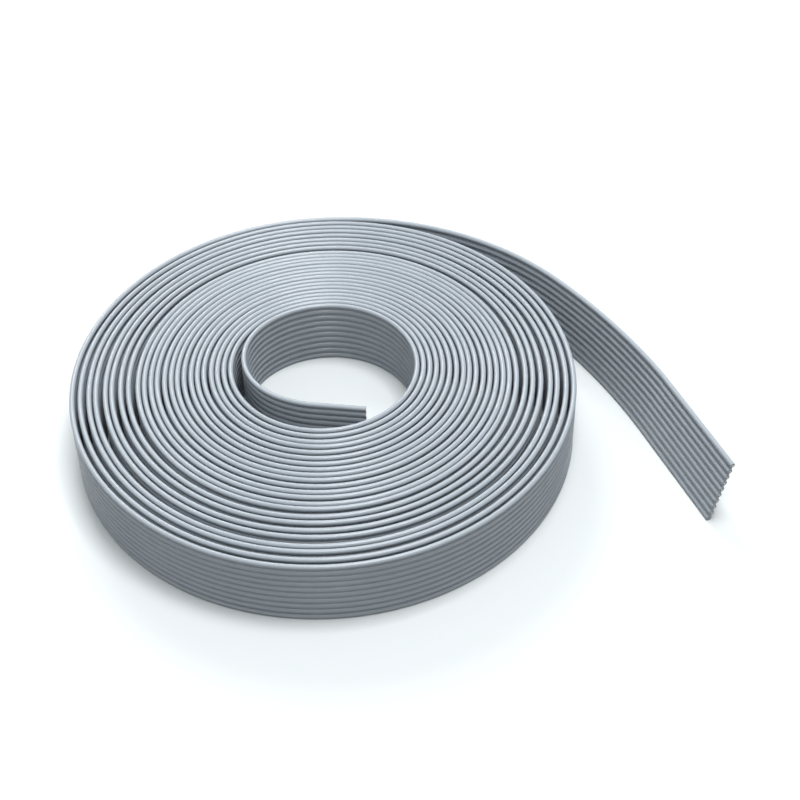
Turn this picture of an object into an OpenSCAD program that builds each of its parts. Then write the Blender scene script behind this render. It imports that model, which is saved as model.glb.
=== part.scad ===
// Flat ribbon cable, wound on edge into a loose roll, with a free inner end and a leaning outer tail.
// Millimetres, +Z up. The origin lies on the table, under the centre of the outermost turn.
// Seen from above the strip winds outwards clockwise, as a chain of arcs that share their tangents.

/* [Strip] */
// Number of wires side by side
wires = 10; // [6:1:14]
// Spacing of neighbouring wires
pitch = 1.27; // [1.2:0.01:1.5]
// Thickness over a wire
lobe_d = 0.9; // [0.7:0.01:0.95]
// Thickness of the web between two wires
web_t = 0.36; // [0.2:0.01:0.45]
// Diameter over the strands of one conductor
conductor_d = 0.38; // [0.2:0.01:0.5]
// Depth to which the conductors are modelled at each cut end
conductor_depth = 8; // [3:0.5:12]

/* [Roll] */
// Whole turns of the even winding
turns = 23; // [16:1:24]
// Turns among them that are wound tightly, from the innermost outwards
tight_turns = 15; // [4:1:15]
// Growth of the winding radius in a tight turn
tight_pitch = 1.1; // [1.1:0.01:1.2]
// Growth of the winding radius in a slack turn
slack_pitch = 1.33; // [1.1:0.01:1.5]
// Radius of the strip where the even winding starts
inner_r = 15.1; // [13:0.1:30]
// Distance by which each turn lies nearer to the front than the one inside it
drift = 0.127; // [0:0.001:0.13]

/* [Inner end] */
// Radius of the tighter curl inside the winding
curl_r = 11.5; // [9:0.1:12.5]
// Angle of that curl
curl_sweep = 105; // [90:1:112]
// Radius of the slacker bend after it
free_r = 18; // [16:0.5:40]
// Angle of the slacker bend
free_sweep = 22; // [10:1:26]
// Length of the straight stretch that ends in the open middle
free_length = 8.5; // [7:0.1:10]

/* [Outer tail] */
// Radius of the bend that leaves the roll
leave_r = 49; // [46:0.5:80]
// Angle of that bend
leave_sweep = 53; // [30:1:60]
// Radius of the slacker bend after it
relax_r = 110; // [80:1:200]
// Angle of the slacker bend
relax_sweep = 15; // [5:1:25]
// Length of the straight stretch at the end
straight_length = 22.5; // [14:0.5:40]
// Outward lean of the strip on that stretch
tail_lean = 14.5; // [0:0.5:25]
// How late the lean sets in, where 1 is evenly from the roll onwards
lean_delay = 1.3; // [1:0.1:2]

/* [Hidden] */
function conductor_name(i) = str("conductor_", i < 9 ? "0" : "", i + 1);

// Each arc of the even winding turns through this angle, the first from this direction
ARC = 90;
FIRST_JOINT = 135;
arcs = turns * 360 / ARC;
// Arcs on the outermost turn and round the open middle, where the lobes can be seen
OUTER_LOBED = 4;
INNER_LOBED = 2;
// Straight steps to an arc of the winding and to each bend, and facets to half a lobe
ARC_STEPS = 10;
CURL_STEPS = 8;
FREE_STEPS = 2;
LEAVE_STEPS = 9;
RELAX_STEPS = 4;
LOBE_STEPS = 2;
WIRE_FN = 32;
// Length by which a drill passes the face that it starts from
OVERSHOOT = 0.5;
// Depth of the plain faces inside the lobed ones, and length by which the two kinds of strip overlap
INSET = 0.03;
OVERLAP = 0.4;

function unit(a) = [cos(a), sin(a)];
function wire_height(i) = lobe_d / 2 + i * pitch;
strip_width = lobe_d + (wires - 1) * pitch;

// Joint i lies in this direction from the centres of arcs i - 1 and i
function joint_angle(i) = FIRST_JOINT - ARC * i;
// The radius grows more at the back than at the front, which moves the turns forwards one by one
function growth(i) = (i < tight_turns * 360 / ARC ? tight_pitch : slack_pitch) * ARC / 360
    + drift / 2 * sin(joint_angle(i));
radii = [for (i = 0, r = inner_r; i <= arcs; i = i + 1, r = r + growth(i)) r];
chain = [for (i = 0, c = [0, 0]; i <= arcs; i = i + 1, c = c - growth(i) * unit(joint_angle(i))) c];
outer_centre = (chain[arcs] + chain[arcs - 1] + chain[arcs - 2] + chain[arcs - 3]) / 4;
function centre(i) = chain[i] - outer_centre;

// A station is a place on the strip's path: [point on the table, direction of the outer face, lean].
// The stations of an arc leave out its last one, which is the first of what follows.
function arc_stations(c, r, from, to, steps) =
    [for (k = [0:steps - 1]) let (a = from + (to - from) * k / steps) [c + r * unit(a), a, 0]];
function winding_stations(first, end) = [for (i = [first:end - 1])
    each arc_stations(centre(i), radii[i], joint_angle(i), joint_angle(i + 1), ARC_STEPS)];
function joint_station(i) = [centre(i) + radii[i] * unit(joint_angle(i)), joint_angle(i), 0];
function moved_on(s, by) = [s[0] + by * unit(s[1] - 90), s[1], s[2]];

// The inner end, from the cut to the first joint: a straight, the slacker bend and the curl
curl_centre = centre(0) + (inner_r - curl_r) * unit(FIRST_JOINT);
curl_start = FIRST_JOINT + curl_sweep;
free_centre = curl_centre + (curl_r - free_r) * unit(curl_start);
free_start = curl_start + free_sweep;
inner_cut = [free_centre + free_r * unit(free_start) - free_length * unit(free_start - 90), free_start, 0];
inner_stations = concat(
    [inner_cut],
    arc_stations(free_centre, free_r, free_start, curl_start, FREE_STEPS),
    arc_stations(curl_centre, curl_r, curl_start, FIRST_JOINT, CURL_STEPS));

// The tail, from the back of the roll: a bend, a slacker bend and a straight, leaning more and more
tail_start = centre(arcs) + radii[arcs] * unit(90);
leave_centre = tail_start - leave_r * unit(90);
leave_end = 90 - leave_sweep;
relax_centre = leave_centre + (leave_r - relax_r) * unit(leave_end);
relax_end = leave_end - relax_sweep;
leave_length = leave_r * leave_sweep;
bent_length = leave_length + relax_r * relax_sweep;
function lean(a) = tail_lean * pow((a > leave_end ? leave_r * (90 - a)
    : leave_length + relax_r * (leave_end - a)) / bent_length, lean_delay);
outer_cut = [relax_centre + relax_r * unit(relax_end) + straight_length * unit(relax_end - 90),
    relax_end, tail_lean];
tail_stations = concat(
    arc_stations(centre(arcs), radii[arcs], FIRST_JOINT, 90, ARC_STEPS / 2),
    [for (s = concat(
        arc_stations(leave_centre, leave_r, 90, leave_end, LEAVE_STEPS),
        arc_stations(relax_centre, relax_r, leave_end, relax_end, RELAX_STEPS)))
        [s[0], s[1], lean(s[1])]],
    [[relax_centre + relax_r * unit(relax_end), relax_end, tail_lean]],
    [outer_cut]);

// A point of the section, [outwards, up], set at a station and tilted there about its lowest wire
function at_station(s, p) = let (
    up = p[1] - wire_height(0),
    xy = s[0] + (p[0] * cos(s[2]) + up * sin(s[2])) * unit(s[1]))
    [xy[0], xy[1], wire_height(0) + up * cos(s[2]) - p[0] * sin(s[2])];

// The section's outline: lobes from bottom to top on one side, with webs between them, then mirrored
neck = asin(web_t / lobe_d);
function lobe_side(i) = let (
    from = i == 0 ? -90 : neck - 90,
    to = i == wires - 1 ? 90 : 90 - neck)
    [for (k = [0:LOBE_STEPS]) [0, wire_height(i)] + lobe_d / 2 * unit(from + (to - from) * k / LOBE_STEPS)];
side = [for (i = [0:wires - 1]) each lobe_side(i)];
outline = concat(side, [for (k = [len(side) - 2:-1:1]) [-side[k][0], side[k][1]]]);

// Sweeps the lobed section through a list of stations. Each end is closed by bars across the strip,
// from a point of the outline to its mirror image.
module lobed_strip(stations) {
    n = len(outline);
    last = n * (len(stations) - 1);
    polyhedron(
        points = [for (s = stations) each [for (p = outline) at_station(s, p)]],
        faces = concat(
            [for (k = [0:len(side) - 2]) end_bar([k, k + 1, n - k - 1, n - k], n)],
            [for (j = [0:n:last - n], k = [0:n - 1])
                [j + k, j + n + k, j + n + (k + 1) % n, j + (k + 1) % n]],
            [for (k = [0:len(side) - 2]) [for (i = end_bar([n - k, n - k - 1, k + 1, k], n)) last + i]]));
}

// A face of a cut end as indices into the outline, less the one that repeats at the strip's edges
function end_bar(corners, n) = let (c = [for (i = corners) i % n])
    [for (i = [0:3]) if (c[i] != c[(i + 1) % 4]) c[i]];

// Extrudes arcs of the winding with plain faces, where the next turns hide them. The faces lie just
// inside those of the lobes, and the ends run on into the lobed strip, so that all becomes one solid.
module plain_strip(first, end) {
    path = concat(
        [moved_on(joint_station(first), -OVERLAP)],
        winding_stations(first, end),
        [joint_station(end), moved_on(joint_station(end), OVERLAP)]);
    half = lobe_d / 2 - INSET;
    translate([0, 0, INSET]) linear_extrude(strip_width - 2 * INSET) polygon(concat(
        [for (s = path) s[0] + half * unit(s[1])],
        [for (k = [len(path) - 1:-1:0]) path[k][0] - half * unit(path[k][1])]));
}

// The straight end of a wire at a cut, running into the strip, from `beyond` outside the cut
module wire_end(cut, i, inwards, beyond = 0) {
    translate(at_station(cut, [0, wire_height(i)])) rotate([0, 0, cut[1] - 90]) rotate([0, inwards, 0])
        translate([0, 0, -beyond]) cylinder(d = conductor_d, h = conductor_depth + beyond, $fn = WIRE_FN);
}

module wire_ends(i, beyond = 0) {
    wire_end(inner_cut, i, 90, beyond);
    wire_end(outer_cut, i, -90, beyond);
}

module insulation() {
    color("darkgray") union() {
        difference() {
            lobed_strip(concat(inner_stations, winding_stations(0, INNER_LOBED), [joint_station(INNER_LOBED)]));
            for (i = [0:wires - 1]) wire_end(inner_cut, i, 90, OVERSHOOT);
        }
        plain_strip(INNER_LOBED, arcs - OUTER_LOBED);
        difference() {
            lobed_strip(concat(winding_stations(arcs - OUTER_LOBED, arcs), tail_stations));
            for (i = [0:wires - 1]) wire_end(outer_cut, i, -90, OVERSHOOT);
        }
    }
}

module conductor(i) {
    color("silver") wire_ends(i);
}

insulation();
for (i = [0:wires - 1])
    conductor(i);
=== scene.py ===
"""The looks of a grey ribbon cable that is wound on edge into a loose roll.

Ten insulated wires lie side by side, joined by thin webs. The strip starts with a cut end in the
open middle, winds outwards clockwise as seen from above, and ends in a tail that leans outwards.
All sizes are in metres, in the part's own frame: the table is at Z 0, and Z points up.
"""

import logging
import math
import random
from dataclasses import dataclass, field
from enum import Enum

import bmesh
import bpy
import numpy as np
from mathutils import Matrix, Vector


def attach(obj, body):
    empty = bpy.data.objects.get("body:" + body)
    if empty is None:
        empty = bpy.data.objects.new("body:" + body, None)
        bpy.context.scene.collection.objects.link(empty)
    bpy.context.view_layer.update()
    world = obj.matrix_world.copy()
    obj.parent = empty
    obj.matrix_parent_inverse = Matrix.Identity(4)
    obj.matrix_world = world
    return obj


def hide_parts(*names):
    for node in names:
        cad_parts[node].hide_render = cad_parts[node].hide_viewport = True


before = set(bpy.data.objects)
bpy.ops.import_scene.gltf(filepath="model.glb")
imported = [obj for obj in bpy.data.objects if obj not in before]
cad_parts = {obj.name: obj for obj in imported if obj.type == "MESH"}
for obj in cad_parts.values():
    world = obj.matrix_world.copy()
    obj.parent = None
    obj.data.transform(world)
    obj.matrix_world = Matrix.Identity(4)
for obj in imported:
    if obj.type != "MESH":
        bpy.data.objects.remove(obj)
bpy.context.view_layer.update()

MM = 0.001
QUARTER_TURN = math.pi / 2
SHARP_ANGLE = math.radians(50)
BODY = "root"
Colour = tuple[float, float, float, float]
Point = tuple[float, float, float]
Span = tuple[float, float]
log = logging.getLogger("ribbon_cable")


def unit(angle: float) -> np.ndarray:
    """The unit vector on the table that points along an angle in radians."""
    return np.array((math.cos(angle), math.sin(angle)))


def smoothstep(share: np.ndarray) -> np.ndarray:
    """Eases shares between 0 and 1 in and out."""
    return share * share * (3 - 2 * share)


class CutEnd(Enum):
    """The two cut ends of the strip: its place in the list of stations."""

    INNER = 0
    OUTER = -1


@dataclass(frozen=True)
class Station:
    """A place on the strip's path: a point on the table, the outer face's direction, the lean, and
    the mean gap to the turn inside it, which is 0 where the strip lies free."""

    at: np.ndarray
    facing: float
    lean: float = 0.0
    gap: float = 0.0


@dataclass(frozen=True)
class Strip:
    """The section of the flat strip. A point that is nearer to the section's middle line than
    on_axis counts as lying on that line."""

    wires: int = 10
    pitch: float = 1.27 * MM
    lobe_d: float = 0.9 * MM
    web_t: float = 0.28 * MM
    conductor_d: float = 0.38 * MM
    conductor_depth: float = 8.0 * MM
    lobe_steps: int = 5
    on_axis: float = 0.001 * MM

    def height(self, wire: int) -> float:
        """The height of a wire's centreline above the table where the strip stands upright."""
        return self.lobe_d / 2 + wire * self.pitch

    def side(self, wire: int) -> list[tuple[float, float]]:
        """One side of a wire's section, from bottom to top.

        Args:
            wire: index of the wire, counted from the table.

        Returns:
            Points as (outwards, up), measured from the wire's centreline. A lobe ends in half a web
            towards each neighbour, and in a full round at the strip's edges.
        """
        neck = math.acos(self.web_t / self.lobe_d)
        low = -neck if wire > 0 else -QUARTER_TURN
        high = neck if wire < self.wires - 1 else QUARTER_TURN
        lobe = [
            tuple(self.lobe_d / 2 * unit(low + (high - low) * k / self.lobe_steps))
            for k in range(self.lobe_steps + 1)
        ]
        if wire > 0:
            lobe.insert(0, (self.web_t / 2, -self.pitch / 2))
        if wire < self.wires - 1:
            lobe.append((self.web_t / 2, self.pitch / 2))
        return lobe

    def section(self, wire: int) -> np.ndarray:
        """The closed section of one wire with its halves of the webs.

        Args:
            wire: index of the wire, counted from the table.

        Returns:
            An array of (outwards, up), once round.
        """
        right = self.side(wire)
        left = [(-out, up) for out, up in reversed(right) if out > self.on_axis]
        if right[0][0] <= self.on_axis:
            right[0] = (0.0, right[0][1])
        return np.array(right + left)


@dataclass
class Route:
    """The path of the strip over the table, as a chain of arcs that share their tangents.

    The thickness is the strip's. The tight and the slack pitch are the growth of the radius in a
    turn, and the drift is the distance by which each turn lies nearer to the front than the one
    inside it. With a lean delay of 1 the lean would set in evenly along the tail's bends.
    """

    thickness: float
    turns: int = 23
    tight_turns: int = 15
    tight_pitch: float = 1.1 * MM
    slack_pitch: float = 1.33 * MM
    inner_r: float = 15.1 * MM
    drift: float = 0.127 * MM
    first_joint: float = math.radians(135)
    curl_r: float = 11.5 * MM
    curl_sweep: float = math.radians(105)
    free_r: float = 18 * MM
    free_sweep: float = math.radians(22)
    free_length: float = 8.5 * MM
    leave_r: float = 49 * MM
    leave_sweep: float = math.radians(53)
    relax_r: float = 110 * MM
    relax_sweep: float = math.radians(15)
    straight_length: float = 22.5 * MM
    tail_lean: float = math.radians(14.5)
    lean_delay: float = 1.3
    sagitta: float = 0.012 * MM
    straight_step: float = 1.5 * MM
    stations: list[Station] = field(default_factory=list)

    ARCS_PER_TURN = 4
    ARC = 2 * math.pi / ARCS_PER_TURN

    def joint(self, i: int) -> float:
        """The direction in which joint i lies from the centres of the arcs before and after it."""
        return self.first_joint - self.ARC * i

    def spacing(self, i: int) -> float:
        """The mean distance between turns at arc i of the winding."""
        return self.tight_pitch if i < self.ARCS_PER_TURN * self.tight_turns else self.slack_pitch

    def growth(self, i: int) -> float:
        """The step in radius at joint i, larger at the back, which moves the turns forwards."""
        return self.spacing(i) / self.ARCS_PER_TURN + self.drift / 2 * math.sin(self.joint(i))

    def arc(
        self, centre: np.ndarray, radius: float, start: float, end: float, pitch: float = 0.0
    ) -> None:
        """Adds the stations of an arc, apart from its last one, which the next stretch adds.

        Args:
            centre: the arc's centre on the table.
            radius: its radius.
            start: the angle at which it starts, in radians.
            end: the angle at which it ends.
            pitch: the mean distance to the turn inside it, or 0 where there is none.
        """
        step = 2 * math.sqrt(2 * self.sagitta / radius)
        count = math.ceil(abs(end - start) / step)
        for k in range(count):
            angle = start + (end - start) * k / count
            gap = pitch - self.drift * math.sin(angle) - self.thickness if pitch else 0.0
            self.stations.append(Station(centre + radius * unit(angle), angle, 0.0, gap))

    def straight(self, start: np.ndarray, facing: float, length: float, lean: float = 0.0) -> None:
        """Adds the stations of a straight, apart from its last one, which the next stretch adds.

        Args:
            start: the point where it starts.
            facing: the direction of the strip's outer face, a quarter turn left of the straight's.
            length: its length.
            lean: the strip's outward lean along it.
        """
        count = math.ceil(length / self.straight_step)
        for k in range(count):
            at = start + unit(facing - QUARTER_TURN) * length * k / count
            self.stations.append(Station(at, facing, lean))

    def build(self) -> list[Station]:
        """Lays the whole path, from the cut in the open middle to the cut of the tail.

        Returns:
            The stations in order.
        """
        joints = self.ARCS_PER_TURN * self.turns
        radii, centres = [self.inner_r], [np.zeros(2)]
        for i in range(1, joints + 1):
            centres.append(centres[-1] - self.growth(i) * unit(self.joint(i)))
            radii.append(radii[-1] + self.growth(i))
        middle = sum(centres[-self.ARCS_PER_TURN :]) / self.ARCS_PER_TURN
        centres = [c - middle for c in centres]
        self._inner_end(centres[0])
        for i in range(joints):
            self.arc(centres[i], radii[i], self.joint(i), self.joint(i + 1), self.spacing(i))
        self._tail(centres[joints], radii[joints])
        return self.stations

    def _inner_end(self, first_centre: np.ndarray) -> None:
        """Lays the free inner end: a straight from the cut, a slack bend and the curl after it.

        Args:
            first_centre: the centre of the winding's first arc.
        """
        curl_centre = first_centre + (self.inner_r - self.curl_r) * unit(self.first_joint)
        curl_start = self.first_joint + self.curl_sweep
        free_centre = curl_centre + (self.curl_r - self.free_r) * unit(curl_start)
        free_start = curl_start + self.free_sweep
        bend = free_centre + self.free_r * unit(free_start)
        cut = bend - self.free_length * unit(free_start - QUARTER_TURN)
        self.straight(cut, free_start, self.free_length)
        self.arc(free_centre, self.free_r, free_start, curl_start)
        self.arc(curl_centre, self.curl_r, curl_start, self.first_joint)

    def _tail(self, centre: np.ndarray, radius: float) -> None:
        """Lays the tail: two bends that slacken and a straight, with the lean setting in on the way.

        Args:
            centre: the centre of the arc that ends the roll at its back.
            radius: that arc's radius.
        """
        back = QUARTER_TURN
        self.arc(centre, radius, self.first_joint, back)
        first = len(self.stations)
        leave_centre = centre + (radius - self.leave_r) * unit(back)
        leave_end = back - self.leave_sweep
        relax_centre = leave_centre + (self.leave_r - self.relax_r) * unit(leave_end)
        relax_end = leave_end - self.relax_sweep
        self.arc(leave_centre, self.leave_r, back, leave_end)
        self.arc(relax_centre, self.relax_r, leave_end, relax_end)
        bent = self.leave_r * self.leave_sweep + self.relax_r * self.relax_sweep
        for k in range(first, len(self.stations)):
            old = self.stations[k]
            if old.facing > leave_end:
                run = self.leave_r * (back - old.facing)
            else:
                run = self.leave_r * self.leave_sweep + self.relax_r * (leave_end - old.facing)
            lean = self.tail_lean * (run / bent) ** self.lean_delay
            self.stations[k] = Station(old.at, old.facing, lean)
        start = relax_centre + self.relax_r * unit(relax_end)
        self.straight(start, relax_end, self.straight_length, self.tail_lean)
        cut = start + self.straight_length * unit(relax_end - QUARTER_TURN)
        self.stations.append(Station(cut, relax_end, self.tail_lean))


@dataclass
class Lay:
    """The strip's stations as arrays, with the unevenness of a roll that was wound by hand.

    The unevenness swings from knot to knot, at each by at least the least swing. It sets in over
    one turn past the still turns at either end, and the gaps that limit it are averaged over the
    blended stations, an odd number.
    """

    stations: list[Station]
    strip: Strip
    seed: int = 11
    clearance: float = 0.015 * MM
    knots_per_turn: float = 2.3
    least_swing: float = 0.45
    blended_stations: int = 61
    still_turns: Span = (1.3, 1.2)

    def __post_init__(self) -> None:
        """Turns the stations into arrays, lays the unevenness over them and measures the run."""
        self.at = np.array([s.at for s in self.stations])
        self.facing = np.array([s.facing for s in self.stations])
        self.lean = np.array([s.lean for s in self.stations])
        self.outwards = np.column_stack((np.cos(self.facing), np.sin(self.facing)))
        self.at = self.at + self._play()[:, None] * self.outwards
        steps = np.linalg.norm(np.diff(self.at, axis=0), axis=1)
        self.run = np.concatenate(([0.0], np.cumsum(steps)))

    def _play(self) -> np.ndarray:
        """How far each station lies outside the even winding.

        A turn uses up to half of the gap on either side of it, so that some turns come to lie close
        together and others stand apart, and none ever reaches its neighbour. The free ends and the
        first and last turn stay where they are.

        Returns:
            One distance a station, positive outwards.
        """
        draw = random.Random(self.seed)
        turn = (self.facing[0] - self.facing) / (2 * math.pi)
        place = turn * self.knots_per_turn
        count = math.ceil(place.max()) + 2
        knots = [draw.choice((-1, 1)) * draw.uniform(self.least_swing, 1) for _ in range(count)]
        low = np.floor(place).astype(int)
        blend = smoothstep(place - low)
        swing = np.take(knots, low) * (1 - blend) + np.take(knots, low + 1) * blend
        gap = np.array([s.gap for s in self.stations])
        window = np.ones(self.blended_stations) / self.blended_stations
        gap = np.convolve(np.pad(gap, self.blended_stations // 2, mode="edge"), window, mode="valid")
        inner, outer = self.still_turns
        fade = np.clip(np.minimum(turn - inner, turn.max() - outer - turn), 0, 1)
        return np.maximum(gap / 2 - self.clearance, 0) * swing * fade

    def sweep(self, section: np.ndarray, height: float) -> np.ndarray:
        """Sets a section at every station.

        Args:
            section: points as (outwards, up) from the wire's centreline.
            height: the centreline's height where the strip stands upright.

        Returns:
            An array of rings of points, in the part's frame.
        """
        low = self.strip.height(0)
        out = section[None, :, 0]
        up = section[None, :, 1] + height - low
        cos, sin = np.cos(self.lean)[:, None], np.sin(self.lean)[:, None]
        across = out * cos + up * sin
        flat = self.at[:, None, :] + across[:, :, None] * self.outwards[:, None, :]
        return np.concatenate((flat, (low + up * cos - out * sin)[:, :, None]), axis=2)

    def centreline(self, wire: int) -> np.ndarray:
        """The centreline of one wire as points in the part's frame."""
        return self.sweep(np.zeros((1, 2)), self.strip.height(wire))[:, 0, :]

    def heading(self, end: CutEnd) -> Vector:
        """The direction out of the strip at one of its cut ends."""
        turn = QUARTER_TURN if end is CutEnd.INNER else -QUARTER_TURN
        return Vector((*unit(self.facing[end.value] + turn), 0.0))


class NodeTree:
    """A thin helper that adds nodes to a tree and links them."""

    def __init__(self, tree: bpy.types.NodeTree) -> None:
        """Keeps the tree and empties it."""
        self.tree = tree
        tree.nodes.clear()

    def node(self, kind: str, **values: object) -> bpy.types.Node:
        """Adds a node.

        Args:
            kind: the node's type name.
            values: properties of the node by name, or values of its inputs by their names with
                spaces written as underscores.

        Returns:
            The new node.
        """
        made = self.tree.nodes.new(kind)
        for name, value in values.items():
            if hasattr(made, name):
                setattr(made, name, value)
            else:
                made.inputs[name.replace("_", " ")].default_value = value
        return made

    def link(self, source: bpy.types.NodeSocket, target: bpy.types.NodeSocket) -> None:
        """Links an output to an input."""
        self.tree.links.new(source, target)


@dataclass(frozen=True)
class Grain:
    """The fine unevenness that the plastic and the metal share: coarse noise with finer noise on it."""

    name: str = "fine_grain"
    coarse_detail: float = 3.0
    coarse_roughness: float = 0.55
    fine_detail: float = 2.0
    fine_roughness: float = 0.6
    fine_scale: float = 4.3
    fine_share: float = 0.4
    middle: float = 0.5

    def group(self) -> bpy.types.NodeTree:
        """Builds the grain's node group, once.

        Returns:
            A group with the inputs Vector, Scale and Contrast and the outputs Mask and Height.
        """
        found = bpy.data.node_groups.get(self.name)
        if found:
            return found
        group = bpy.data.node_groups.new(self.name, "ShaderNodeTree")
        for name, kind, default in (
            ("Vector", "NodeSocketVector", (0.0, 0.0, 0.0)),
            ("Scale", "NodeSocketFloat", 1.0),
            ("Contrast", "NodeSocketFloat", 1.0),
        ):
            socket = group.interface.new_socket(name, in_out="INPUT", socket_type=kind)
            socket.default_value = default
        for name in ("Mask", "Height"):
            group.interface.new_socket(name, in_out="OUTPUT", socket_type="NodeSocketFloat")
        self._fill(NodeTree(group))
        return group

    def _fill(self, tree: NodeTree) -> None:
        """Adds the group's nodes: two noises, their sum as a height, and a mask round one half.

        Args:
            tree: the group's nodes.
        """
        source, sink = tree.node("NodeGroupInput"), tree.node("NodeGroupOutput")
        coarse = tree.node(
            "ShaderNodeTexNoise", Detail=self.coarse_detail, Roughness=self.coarse_roughness
        )
        fine = tree.node("ShaderNodeTexNoise", Detail=self.fine_detail, Roughness=self.fine_roughness)
        finer = tree.node("ShaderNodeMath", operation="MULTIPLY")
        finer.inputs[1].default_value = self.fine_scale
        mix = tree.node("ShaderNodeMath", operation="MULTIPLY_ADD")
        mix.inputs[1].default_value = self.fine_share
        centred = tree.node("ShaderNodeMath", operation="SUBTRACT")
        centred.inputs[1].default_value = self.middle * (1 + self.fine_share)
        strong = tree.node("ShaderNodeMath", operation="MULTIPLY")
        shifted = tree.node("ShaderNodeMath", operation="ADD", use_clamp=True)
        shifted.inputs[1].default_value = self.middle
        for noise in (coarse, fine):
            tree.link(source.outputs["Vector"], noise.inputs["Vector"])
        tree.link(source.outputs["Scale"], coarse.inputs["Scale"])
        tree.link(source.outputs["Scale"], finer.inputs[0])
        tree.link(finer.outputs[0], fine.inputs["Scale"])
        tree.link(fine.outputs["Fac"], mix.inputs[0])
        tree.link(coarse.outputs["Fac"], mix.inputs[2])
        tree.link(mix.outputs[0], centred.inputs[0])
        tree.link(centred.outputs[0], strong.inputs[0])
        tree.link(source.outputs["Contrast"], strong.inputs[1])
        tree.link(strong.outputs[0], shifted.inputs[0])
        tree.link(shifted.outputs[0], sink.inputs["Mask"])
        tree.link(mix.outputs[0], sink.inputs["Height"])

    def place(
        self, tree: NodeTree, vector: bpy.types.NodeSocket, scale: float, contrast: float
    ) -> bpy.types.Node:
        """Places the grain in a material.

        Args:
            tree: the material's nodes.
            vector: the coordinates that it reads.
            scale: the grain's scale.
            contrast: how far its mask spreads round one half.

        Returns:
            The group node.
        """
        made = tree.node("ShaderNodeGroup", node_tree=self.group(), Scale=scale, Contrast=contrast)
        tree.link(vector, made.inputs["Vector"])
        return made


@dataclass(frozen=True)
class Finish:
    """A surface whose tone and gloss follow masks of the grain."""

    name: str
    pale: Colour
    deep: Colour
    smooth: float
    rough: float

    def start(self) -> tuple[bpy.types.Material, NodeTree, bpy.types.Node]:
        """Starts the material.

        Returns:
            The new material, its nodes and its shader.
        """
        made = bpy.data.materials.new(self.name)
        made.use_nodes = True
        tree = NodeTree(made.node_tree)
        shader = tree.node("ShaderNodeBsdfPrincipled")
        out = tree.node("ShaderNodeOutputMaterial")
        tree.link(shader.outputs["BSDF"], out.inputs["Surface"])
        return made, tree, shader

    def tint(self, tree: NodeTree, shader: bpy.types.Node, mask: bpy.types.NodeSocket) -> None:
        """Mixes the shader's colour from deep to pale.

        Args:
            tree: the material's nodes.
            shader: its shader.
            mask: the share of the pale tone.
        """
        tone = tree.node("ShaderNodeMix", data_type="RGBA")
        tone.inputs["A"].default_value = self.deep
        tone.inputs["B"].default_value = self.pale
        tree.link(mask, tone.inputs["Factor"])
        tree.link(tone.outputs["Result"], shader.inputs["Base Color"])

    def dull(self, tree: NodeTree, shader: bpy.types.Node, mask: bpy.types.NodeSocket) -> None:
        """Spreads the shader's roughness from smooth to rough.

        Args:
            tree: the material's nodes.
            shader: its shader.
            mask: where it is rough.
        """
        gloss = tree.node("ShaderNodeMapRange", To_Min=self.smooth, To_Max=self.rough)
        tree.link(mask, gloss.inputs["Value"])
        tree.link(gloss.outputs["Result"], shader.inputs["Roughness"])


@dataclass(frozen=True)
class VinylFinish(Finish):
    """Soft grey vinyl with faint lines along the strip from its extrusion."""

    name: str = "grey_vinyl"
    pale: Colour = (0.365, 0.405, 0.445, 1.0)
    deep: Colour = (0.320, 0.358, 0.396, 1.0)
    smooth: float = 0.22
    rough: float = 0.34
    ior: float = 1.48
    line_scale: float = 2600.0
    line_contrast: float = 1.6
    line_stretch: float = 0.02
    line_depth: float = 0.006 * MM
    line_strength: float = 0.5
    cloud_scale: float = 55.0
    cloud_contrast: float = 1.3

    def material(self) -> bpy.types.Material:
        """Builds the material, with its lines on the UV map that runs along and round a wire.

        Returns:
            The new material.
        """
        made, tree, shader = self.start()
        shader.inputs["IOR"].default_value = self.ior
        along = tree.node("ShaderNodeUVMap", uv_map="UVMap")
        streak = tree.node("ShaderNodeMapping", Scale=(self.line_stretch, 1.0, 1.0))
        tree.link(along.outputs["UV"], streak.inputs["Vector"])
        where = tree.node("ShaderNodeTexCoord")
        grain = Grain()
        lines = grain.place(tree, streak.outputs["Vector"], self.line_scale, self.line_contrast)
        cloud = grain.place(tree, where.outputs["Object"], self.cloud_scale, self.cloud_contrast)
        self.tint(tree, shader, cloud.outputs["Mask"])
        self.dull(tree, shader, lines.outputs["Mask"])
        bump = tree.node("ShaderNodeBump", Strength=self.line_strength, Distance=self.line_depth)
        tree.link(lines.outputs["Height"], bump.inputs["Height"])
        tree.link(bump.outputs["Normal"], shader.inputs["Normal"])
        return made


@dataclass(frozen=True)
class TinnedFinish(Finish):
    """Tinned copper strands, cut and slightly dull."""

    name: str = "tinned_copper"
    pale: Colour = (0.72, 0.69, 0.64, 1.0)
    deep: Colour = (0.50, 0.46, 0.42, 1.0)
    smooth: float = 0.24
    rough: float = 0.42
    spot_scale: float = 3500.0
    spot_contrast: float = 1.8

    def material(self) -> bpy.types.Material:
        """Builds the material on object coordinates.

        Returns:
            The new material.
        """
        made, tree, shader = self.start()
        shader.inputs["Metallic"].default_value = 1.0
        where = tree.node("ShaderNodeTexCoord")
        spots = Grain().place(tree, where.outputs["Object"], self.spot_scale, self.spot_contrast)
        self.tint(tree, shader, spots.outputs["Mask"])
        self.dull(tree, shader, spots.outputs["Mask"])
        return made


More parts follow.
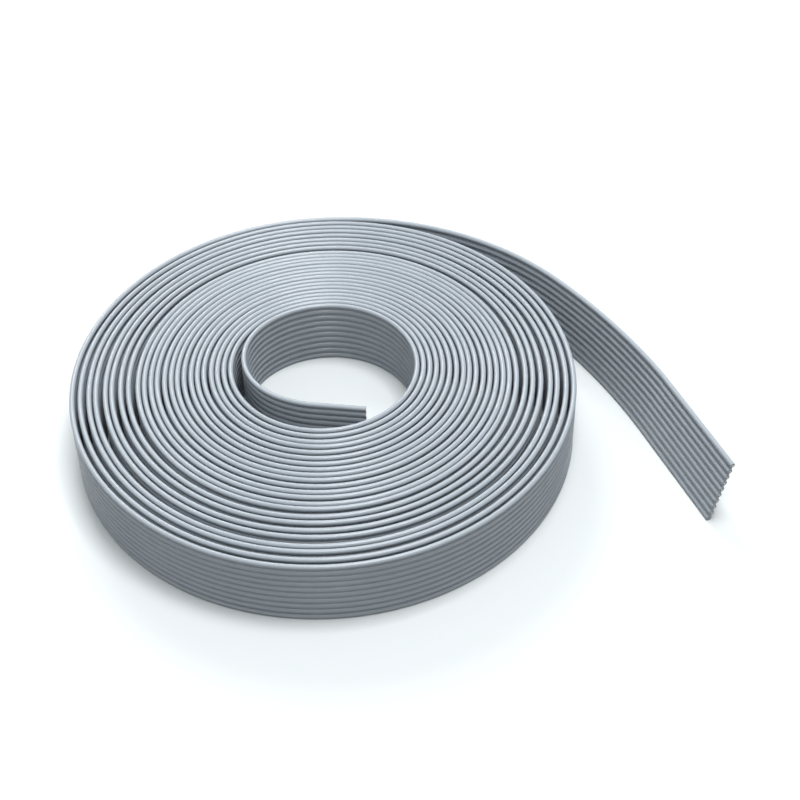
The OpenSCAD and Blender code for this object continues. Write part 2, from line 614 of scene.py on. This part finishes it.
def finished(
    name: str, bm: bmesh.types.BMesh, material: bpy.types.Material
) -> bpy.types.Object:
    """Makes a piece of a bmesh: smooth, dressed, in the scene and on the part's body.

    Args:
        name: the piece's name.
        bm: its shape, which is freed.
        material: its finish.

    Returns:
        The new object, at the origin.
    """
    mesh = bpy.data.meshes.new(name)
    bm.to_mesh(mesh)
    bm.free()
    mesh.shade_smooth()
    mesh.set_sharp_from_angle(angle=SHARP_ANGLE)
    mesh.materials.append(material)
    piece = bpy.data.objects.new(name, mesh)
    bpy.context.scene.collection.objects.link(piece)
    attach(piece, BODY)
    return piece


@dataclass
class InsulatedWire:
    """One wire of the strip: its lobe of insulation and half of the web to each neighbour."""

    index: int
    strip: Strip
    lay: Lay
    mouth_rim: float = 0.05 * MM
    seam_reach: float = 0.0005 * MM
    uv_spacing: float = 0.05

    QUAD = 4

    def build(self, material: bpy.types.Material) -> bpy.types.Object:
        """Builds the wire's insulation along the whole path.

        Args:
            material: its finish.

        Returns:
            The piece.
        """
        bm = self._tube()
        self._bore(bm, CutEnd.INNER)
        self._bore(bm, CutEnd.OUTER)
        piece = finished(f"wire_{self.index + 1:02d}", bm, material)
        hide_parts("insulation")
        path = self.lay.centreline(self.index)
        return piece

    def _tube(self) -> bmesh.types.BMesh:
        """Bends a flat grid round the wire's section and along the path, and closes its ends.

        Returns:
            The closed tube, with a UV map in metres: along the wire, and round it.
        """
        section = self.strip.section(self.index)
        section = np.vstack((section, section[:1]))
        rings = self.lay.sweep(section, self.strip.height(self.index))
        bm = bmesh.new()
        uv = bm.loops.layers.uv.new("UVMap")
        columns = len(section)
        bmesh.ops.create_grid(
            bm, x_segments=columns - 1, y_segments=len(rings) - 1, size=1.0, calc_uvs=False
        )
        bm.verts.ensure_lookup_table()
        for vert, point in zip(bm.verts, rings.reshape(-1, 3)):
            vert.co = point
        around = np.concatenate(
            ([0.0], np.cumsum(np.linalg.norm(np.diff(section, axis=0), axis=1)))
        )
        offset = self.index * self.uv_spacing
        for face in bm.faces:
            for loop in face.loops:
                row, column = divmod(loop.vert.index, columns)
                loop[uv].uv = (self.lay.run[row], offset + around[column])
        bmesh.ops.remove_doubles(bm, verts=bm.verts, dist=self.seam_reach)
        bmesh.ops.holes_fill(bm, edges=[e for e in bm.edges if e.is_boundary], sides=0)
        bmesh.ops.recalc_face_normals(bm, faces=bm.faces)
        return bm

    def _bore(self, bm: bmesh.types.BMesh, end: CutEnd) -> None:
        """Sinks the conductor's hole into a cut end.

        Args:
            bm: the wire's tube, changed in place.
            end: the end to drill.
        """
        heading = self.lay.heading(end)
        centre = Vector(self.lay.centreline(self.index)[end.value])
        caps = [face for face in bm.faces if len(face.verts) > self.QUAD]
        cap = min(caps, key=lambda face: (face.calc_center_median() - centre).length)
        bmesh.ops.inset_region(bm, faces=[cap], thickness=self.mouth_rim, use_even_offset=True)
        self._round(cap, centre, heading)
        drilled = bmesh.ops.extrude_discrete_faces(bm, faces=[cap])["faces"][0]
        bmesh.ops.translate(bm, verts=drilled.verts, vec=-heading * self.strip.conductor_depth)

    def _round(self, face: bmesh.types.BMFace, centre: Vector, heading: Vector) -> None:
        """Moves a face's corners onto the conductor's circle, each in its own direction.

        Args:
            face: the face that becomes the hole's mouth.
            centre: the wire's centre there.
            heading: the direction out of the strip.
        """
        up = Vector((0, 0, 1))
        across = up.cross(heading).normalized()
        count = len(face.verts)
        corners = [v.co - centre for v in face.verts]
        angles = [math.atan2(c.dot(up), c.dot(across)) for c in corners]
        turning = 1 if sum(math.sin(b - a) for a, b in zip(angles, angles[1:])) > 0 else -1
        for k, vert in enumerate(face.verts):
            angle = angles[0] + turning * 2 * math.pi * k / count
            radial = across * math.cos(angle) + up * math.sin(angle)
            vert.co = centre + radial * self.strip.conductor_d / 2


@dataclass
class StrandedConductor:
    """The two visible ends of one conductor: six strands twisted round a seventh."""

    index: int
    strip: Strip
    lay: Lay
    strands: int = 7
    strands_across: int = 3
    strand_fill: float = 0.96
    lay_length: float = 12 * MM
    sides: int = 10
    steps: int = 12
    proud: float = 0.05 * MM
    proud_shares: Span = (0.2, 1.0)
    seed_step: int = 100

    def build(self, material: bpy.types.Material) -> bpy.types.Object:
        """Builds both ends of the conductor.

        Args:
            material: its finish.

        Returns:
            The piece.
        """
        bm = bmesh.new()
        for end in CutEnd:
            self._bundle(bm, end)
        name = f"strands_{self.index + 1:02d}"
        piece = finished(name, bm, material)
        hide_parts(f"conductor_{self.index + 1:02d}")
        log.info("%s: %d faces", name, len(piece.data.polygons))
        return piece

    def _bundle(self, bm: bmesh.types.BMesh, end: CutEnd) -> None:
        """Adds the strands at one cut end.

        Args:
            bm: the shape that they are added to.
            end: the end that they belong to.
        """
        strand_r = self.strip.conductor_d / self.strands_across / 2
        heading = self.lay.heading(end)
        centre = Vector(self.lay.centreline(self.index)[end.value])
        depth = self.strip.conductor_depth
        turn = heading.to_track_quat("Z", "Y").to_matrix().to_4x4()
        base = Matrix.Translation(centre - heading * depth) @ turn
        draw = random.Random(self.seed_step * self.index + end.value)
        for k in range(self.strands):
            ring = 0.0 if k == 0 else 2 * strand_r
            angle = 2 * math.pi * k / (self.strands - 1) + self.index
            made = bmesh.ops.create_circle(
                bm, segments=self.sides, radius=strand_r * self.strand_fill, cap_ends=True
            )
            bmesh.ops.translate(
                bm, verts=made["verts"], vec=(ring * math.cos(angle), ring * math.sin(angle), 0)
            )
            face = made["verts"][0].link_faces[0]
            length = depth + self.proud * draw.uniform(*self.proud_shares)
            spun = bmesh.ops.spin(
                bm,
                geom=[face],
                cent=(0, 0, 0),
                axis=(0, 0, 1),
                dvec=(0, 0, length / self.steps),
                angle=2 * math.pi * length / self.lay_length,
                steps=self.steps,
                use_merge=False,
                use_duplicate=False,
            )
            linked = self._whole(spun["geom_last"])
            bmesh.ops.recalc_face_normals(bm, faces=list({f for v in linked for f in v.link_faces}))
            bmesh.ops.transform(bm, matrix=base, verts=list(linked))

    @staticmethod
    def _whole(last: list) -> set[bmesh.types.BMVert]:
        """Finds all vertices of a strand.

        Args:
            last: the geometry that the strand's spin ended with.

        Returns:
            The vertices that hang together with it.
        """
        reached = {g for g in last if isinstance(g, bmesh.types.BMVert)}
        waiting = list(reached)
        while waiting:
            vert = waiting.pop()
            for link in vert.link_edges:
                other = link.other_vert(vert)
                if other not in reached:
                    reached.add(other)
                    waiting.append(other)
        return reached


@dataclass(frozen=True)
class Lamp:
    """A soft square lamp: its place, the length of its sides and its power in watts."""

    name: str
    at: Point
    size: float
    power: float


@dataclass
class Studio:
    """The floor, the soft light and the camera.

    The floor has one tone for the rays that see it and a deeper one for the light that it throws
    back, and its lift is a glow that only the former see, from one strength to the other over the
    reach.
    """

    look_at: Point = (12.41 * MM, 6.34 * MM, 0.0)
    distance: float = 300 * MM
    elevation: float = math.radians(44.0)
    roll: float = math.radians(-1.19)
    focal_px: float = 1722.8
    frame_px: float = 800.0
    sensor: float = 36.0
    clip: Span = (0.01, 20.0)
    horizon: float = 0.15
    zenith: float = 0.60
    white: Colour = (1.0, 1.0, 1.0, 1.0)
    daylight: Colour = (0.94, 0.98, 1.0, 1.0)
    floor_tone: Colour = (0.68, 0.71, 0.72, 1.0)
    floor_bounce: Colour = (0.22, 0.225, 0.23, 1.0)
    floor_roughness: float = 0.9
    floor_specular: float = 0.1
    floor_lift: Span = (0.02, 0.9)
    lift_reach: Span = (0.16, 0.55)
    lift_tint: Colour = (0.95, 0.99, 1.0, 1.0)
    floor_half: float = 3.0
    lamps: tuple[Lamp, ...] = (
        Lamp("top_light", (0.12, 0.04, 0.88), 0.28, 5.8),
        Lamp("front_light", (0.0, -0.35, 0.75), 0.15, 1.3),
        Lamp("back_light", (-0.15, 0.6, 0.5), 0.25, 2.4),
    )

    def camera(self) -> None:
        """Sets the camera at the photograph's angle."""
        data = bpy.data.cameras.new("camera")
        data.sensor_width = self.sensor
        data.sensor_fit = "HORIZONTAL"
        data.lens = self.focal_px * self.sensor / self.frame_px
        data.clip_start, data.clip_end = self.clip
        target = Vector(self.look_at)
        back = Vector((0, -math.cos(self.elevation), math.sin(self.elevation)))
        turn = back.to_track_quat("Z", "Y").to_matrix().to_4x4() @ Matrix.Rotation(self.roll, 4, "Z")
        rig = bpy.data.objects.new("camera", data)
        rig.matrix_world = Matrix.Translation(target + back * self.distance) @ turn
        bpy.context.scene.collection.objects.link(rig)
        bpy.context.scene.camera = rig

    @staticmethod
    def hang(lamp: Lamp) -> None:
        """Adds a lamp that points at the roll.

        Args:
            lamp: what is hung.
        """
        data = bpy.data.lights.new(lamp.name, "AREA")
        data.shape, data.size, data.energy = "SQUARE", lamp.size, lamp.power
        hung = bpy.data.objects.new(lamp.name, data)
        hung.location = lamp.at
        hung.rotation_euler = Vector(lamp.at).to_track_quat("Z", "Y").to_euler()
        bpy.context.scene.collection.objects.link(hung)

    @staticmethod
    def clear_ray(tree: NodeTree) -> bpy.types.NodeSocket:
        """Tells the rays that see the background from those that carry light.

        Args:
            tree: the nodes of the material or world.

        Returns:
            An output that is 1 for camera, glossy and transmission rays, and 0 for the rest.
        """
        path = tree.node("ShaderNodeLightPath")
        first = tree.node("ShaderNodeMath", operation="MAXIMUM")
        second = tree.node("ShaderNodeMath", operation="MAXIMUM")
        tree.link(path.outputs["Is Camera Ray"], first.inputs[0])
        tree.link(path.outputs["Is Glossy Ray"], first.inputs[1])
        tree.link(first.outputs[0], second.inputs[0])
        tree.link(path.outputs["Is Transmission Ray"], second.inputs[1])
        return second.outputs[0]

    def world(self) -> None:
        """Lights the scene mostly from above, and shows plain white behind it."""
        made = bpy.data.worlds.new("studio")
        made.use_nodes = True
        tree = NodeTree(made.node_tree)
        where = tree.node("ShaderNodeTexCoord")
        height = tree.node("ShaderNodeSeparateXYZ")
        strength = tree.node("ShaderNodeMapRange", To_Min=self.horizon, To_Max=self.zenith)
        soft = tree.node("ShaderNodeBackground", Color=self.daylight)
        white = tree.node("ShaderNodeBackground", Color=self.white, Strength=1.0)
        mix = tree.node("ShaderNodeMixShader")
        out = tree.node("ShaderNodeOutputWorld")
        tree.link(where.outputs["Generated"], height.inputs[0])
        tree.link(height.outputs["Z"], strength.inputs["Value"])
        tree.link(strength.outputs["Result"], soft.inputs["Strength"])
        tree.link(self.clear_ray(tree), mix.inputs[0])
        tree.link(soft.outputs[0], mix.inputs[1])
        tree.link(white.outputs[0], mix.inputs[2])
        tree.link(mix.outputs[0], out.inputs["Surface"])
        bpy.context.scene.world = made

    def floor(self) -> None:
        """Lays the floor, which throws back less light than it shows near the roll, and fades to
        plain white further away."""
        made = bpy.data.materials.new("pale_floor")
        made.use_nodes = True
        tree = NodeTree(made.node_tree)
        matt = tree.node("ShaderNodeBsdfPrincipled", Roughness=self.floor_roughness)
        matt.inputs["Specular IOR Level"].default_value = self.floor_specular
        matt.inputs["Emission Color"].default_value = self.lift_tint
        seen = self.clear_ray(tree)
        tone = tree.node("ShaderNodeMix", data_type="RGBA")
        tone.inputs["A"].default_value = self.floor_bounce
        tone.inputs["B"].default_value = self.floor_tone
        where = tree.node("ShaderNodeTexCoord")
        away = tree.node("ShaderNodeVectorMath", operation="LENGTH")
        fade = tree.node("ShaderNodeMapRange", interpolation_type="SMOOTHSTEP")
        fade.inputs["From Min"].default_value, fade.inputs["From Max"].default_value = self.lift_reach
        fade.inputs["To Min"].default_value, fade.inputs["To Max"].default_value = self.floor_lift
        lift = tree.node("ShaderNodeMath", operation="MULTIPLY")
        out = tree.node("ShaderNodeOutputMaterial")
        tree.link(seen, tone.inputs["Factor"])
        tree.link(tone.outputs["Result"], matt.inputs["Base Color"])
        tree.link(where.outputs["Object"], away.inputs[0])
        tree.link(away.outputs["Value"], fade.inputs["Value"])
        tree.link(seen, lift.inputs[0])
        tree.link(fade.outputs["Result"], lift.inputs[1])
        tree.link(lift.outputs[0], matt.inputs["Emission Strength"])
        tree.link(matt.outputs["BSDF"], out.inputs["Surface"])
        bm = bmesh.new()
        bmesh.ops.create_grid(bm, x_segments=1, y_segments=1, size=self.floor_half)
        mesh = bpy.data.meshes.new("floor")
        bm.to_mesh(mesh)
        bm.free()
        mesh.materials.append(made)
        plane = bpy.data.objects.new("floor", mesh)
        bpy.context.scene.collection.objects.link(plane)

    def build(self) -> None:
        """Builds the whole studio."""
        self.camera()
        self.world()
        self.floor()
        for lamp in self.lamps:
            self.hang(lamp)
        bpy.context.scene.view_settings.view_transform = "Standard"


def main() -> None:
    """Builds the studio and the finishes, then each insulated wire with its conductor."""
    logging.basicConfig(level=logging.INFO, format="%(message)s")
    Studio().build()
    strip = Strip()
    lay = Lay(Route(strip.lobe_d).build(), strip)
    log.info("%d stations, %.3f m of strip", len(lay.run), lay.run[-1])
    vinyl = VinylFinish().material()
    tinned = TinnedFinish().material()
    for index in range(strip.wires):
        InsulatedWire(index, strip, lay).build(vinyl)
        StrandedConductor(index, strip, lay).build(tinned)


if __name__ == "__main__":
    main()
